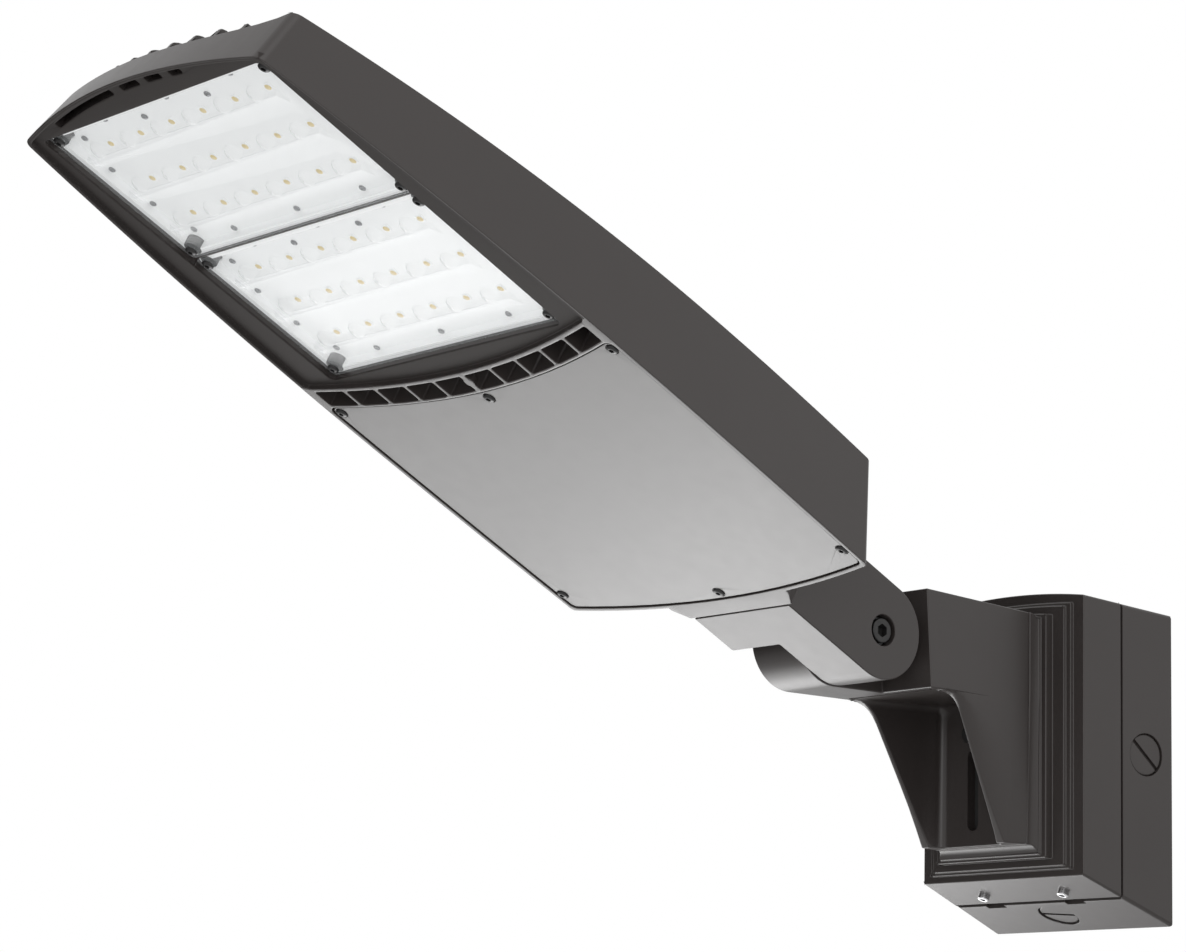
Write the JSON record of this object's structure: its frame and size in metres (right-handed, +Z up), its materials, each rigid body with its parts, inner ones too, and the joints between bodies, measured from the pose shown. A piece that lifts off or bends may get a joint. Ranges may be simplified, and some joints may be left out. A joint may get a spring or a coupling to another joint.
{
  "type": "shoebox area light",
  "caption": "Tapered LED floodlight head on a tilting knuckle arm, with a stepped wall bracket and a surface conduit box.",
  "frame": {"origin": "middle of the conduit box's face that lies on the wall", "axes": "+X out from the wall towards the head, +Y to the right for someone who faces the wall, +Z up"},
  "size_m": [0.9392, 0.34, 0.5445],
  "materials": {
    "bronze_paint": "die-cast aluminium with a fine textured dark bronze powder coat",
    "door_paint": "die-cast aluminium with a smooth dark bronze powder coat",
    "black_rubber": "matt silicone rubber",
    "dark_steel": "black coated steel",
    "zinc_steel": "zinc plated",
    "bright_steel": "polished stainless steel",
    "white_board": "white solder mask",
    "led_phosphor": "yellow phosphor under silicone",
    "clear_lens": "clear moulded acrylic",
    "driver_case": "plain pressed aluminium",
    "black_plastic": "moulded",
    "ivory_plastic": "moulded",
    "green_steel": "green dyed zinc"
  },
  "bodies": {
    "wall_side": {"pivot_bolt": "dark_steel", "pivot_washer": "zinc_steel", "pivot_nut": "zinc_steel", "tilt_arm": "bronze_paint", "arm_seal": "black_rubber", "arm_bolts": "dark_steel", "arm_washers": "zinc_steel", "arm_nuts": "zinc_steel", "wall_bracket": "bronze_paint", "bracket_seal": "black_rubber", "clamp_screws": "bright_steel", "conduit_box": "bronze_paint", "side_plugs": "bronze_paint", "bottom_plug": "bronze_paint", "top_plug": "bronze_paint", "ground_screw": "green_steel"},
    "head": {"housing": "bronze_paint", "driver_door": "door_paint", "door_seal": "black_rubber", "door_screws": "dark_steel", "front_led_board": "white_board", "rear_led_board": "white_board", "front_led_chips": "led_phosphor", "rear_led_chips": "led_phosphor", "front_lens_plate": "clear_lens", "rear_lens_plate": "clear_lens", "front_lens_seal": "black_rubber", "rear_lens_seal": "black_rubber", "lens_screws": "dark_steel", "board_screws": "zinc_steel", "led_driver": "driver_case", "driver_screws": "zinc_steel", "surge_protector": "black_plastic", "terminal_block": "ivory_plastic", "head_knuckle": "bronze_paint", "knuckle_seal": "black_rubber", "knuckle_bolts": "dark_steel", "knuckle_grommet": "black_rubber"}
  },
  "joints": [
    {"name": "head_tilt", "type": "hinge", "parent": "wall_side", "child": "head", "pos_m": [0.272, 0, 0.086], "axis": [0, -1, 0], "range_deg": [-27.6, 62.4]}
  ]
}
